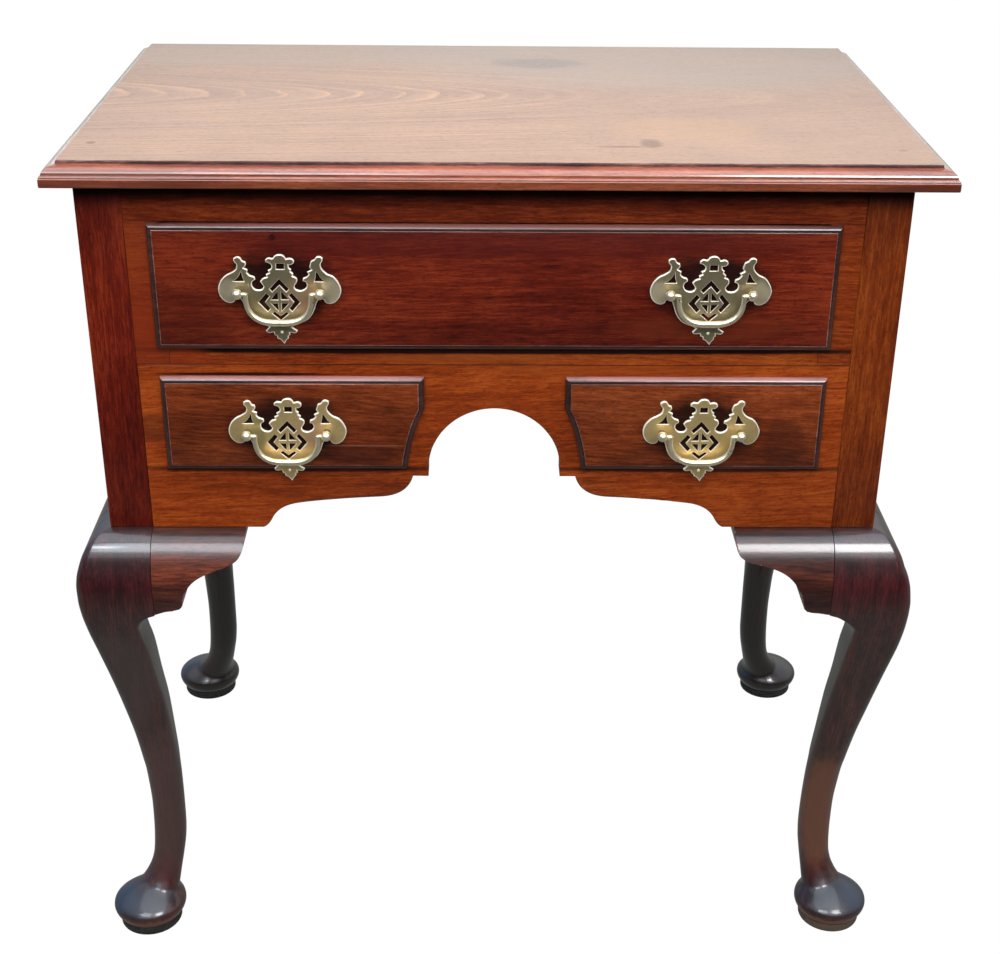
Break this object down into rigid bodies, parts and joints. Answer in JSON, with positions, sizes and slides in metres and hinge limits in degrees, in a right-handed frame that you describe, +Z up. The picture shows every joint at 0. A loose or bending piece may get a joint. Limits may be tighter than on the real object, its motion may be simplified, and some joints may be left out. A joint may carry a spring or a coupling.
{
  "type": "lowboy",
  "caption": "Mahogany lowboy with a moulded top, a long drawer over short ones beside an arched kneehole, cabriole legs on turned pad feet, and pierced batwing brasses with bail handles.",
  "frame": {"origin": "on the floor under the middle of the case", "axes": "+X to the right seen from the front, +Y towards the back, +Z up; the front faces -Y"},
  "size_m": [0.707, 0.455, 0.729],
  "materials": {
    "top_wood": "polished mahogany, waxed",
    "case_wood": "polished mahogany",
    "drawer_wood": "polished mahogany, darker",
    "leg_wood": "polished mahogany, nearly black with age",
    "bracket_wood": "polished mahogany",
    "lining_wood": "plain sawn oak, unfinished",
    "brass": "polished"
  },
  "bodies": {
    "case": {"top": "top_wood", "front_left_leg": "leg_wood", "front_right_leg": "leg_wood", "rear_left_leg": "leg_wood", "rear_right_leg": "leg_wood", "front_left_bracket": "bracket_wood", "front_right_bracket": "bracket_wood", "front_left_side_bracket": "bracket_wood", "front_right_side_bracket": "bracket_wood", "rear_left_side_bracket": "bracket_wood", "rear_right_side_bracket": "bracket_wood", "front_apron": "case_wood", "front_top_rail": "case_wood", "drawer_blade": "case_wood", "left_jamb": "case_wood", "right_jamb": "case_wood", "left_side_panel": "case_wood", "right_side_panel": "case_wood", "back_panel": "lining_wood", "long_drawer_left_runner": "lining_wood", "long_drawer_right_runner": "lining_wood", "left_drawer_inner_runner": "lining_wood", "left_drawer_outer_runner": "lining_wood", "right_drawer_inner_runner": "lining_wood", "right_drawer_outer_runner": "lining_wood", "front_left_glue_block": "lining_wood", "front_right_glue_block": "lining_wood", "rear_left_glue_block": "lining_wood", "rear_right_glue_block": "lining_wood"},
    "long_drawer": {"long_drawer_front": "drawer_wood", "long_drawer_left_side": "lining_wood", "long_drawer_right_side": "lining_wood", "long_drawer_back": "lining_wood", "long_drawer_bottom": "lining_wood", "upper_left_plate": "brass", "upper_left_left_post": "brass", "upper_left_right_post": "brass", "upper_right_plate": "brass", "upper_right_left_post": "brass", "upper_right_right_post": "brass"},
    "left_drawer": {"left_drawer_front": "drawer_wood", "left_drawer_left_side": "lining_wood", "left_drawer_right_side": "lining_wood", "left_drawer_back": "lining_wood", "left_drawer_bottom": "lining_wood", "lower_left_plate": "brass", "lower_left_left_post": "brass", "lower_left_right_post": "brass"},
    "right_drawer": {"right_drawer_front": "drawer_wood", "right_drawer_left_side": "lining_wood", "right_drawer_right_side": "lining_wood", "right_drawer_back": "lining_wood", "right_drawer_bottom": "lining_wood", "lower_right_plate": "brass", "lower_right_left_post": "brass", "lower_right_right_post": "brass"},
    "upper_left_bail": {"upper_left_bail": "brass"},
    "upper_right_bail": {"upper_right_bail": "brass"},
    "lower_left_bail": {"lower_left_bail": "brass"},
    "lower_right_bail": {"lower_right_bail": "brass"}
  },
  "joints": [
    {"name": "long_drawer_slide", "type": "slide", "parent": "case", "child": "long_drawer", "axis": [0, -1, 0], "range_m": [0, 0.29]},
    {"name": "left_drawer_slide", "type": "slide", "parent": "case", "child": "left_drawer", "axis": [0, -1, 0], "range_m": [0, 0.28]},
    {"name": "right_drawer_slide", "type": "slide", "parent": "case", "child": "right_drawer", "axis": [0, -1, 0], "range_m": [0, 0.28]},
    {"name": "upper_left_bail_swing", "type": "hinge", "parent": "long_drawer", "child": "upper_left_bail", "pos_m": [-0.1665, -0.2098, 0.626], "axis": [-1, 0, 0], "range_deg": [-10, 150]},
    {"name": "upper_right_bail_swing", "type": "hinge", "parent": "long_drawer", "child": "upper_right_bail", "pos_m": [0.1665, -0.2098, 0.626], "axis": [-1, 0, 0], "range_deg": [-10, 150]},
    {"name": "lower_left_bail_swing", "type": "hinge", "parent": "left_drawer", "child": "lower_left_bail", "pos_m": [-0.1665, -0.2098, 0.5063], "axis": [-1, 0, 0], "range_deg": [-10, 150]},
    {"name": "lower_right_bail_swing", "type": "hinge", "parent": "right_drawer", "child": "lower_right_bail", "pos_m": [0.1665, -0.2098, 0.5063], "axis": [-1, 0, 0], "range_deg": [-10, 150]}
  ]
}
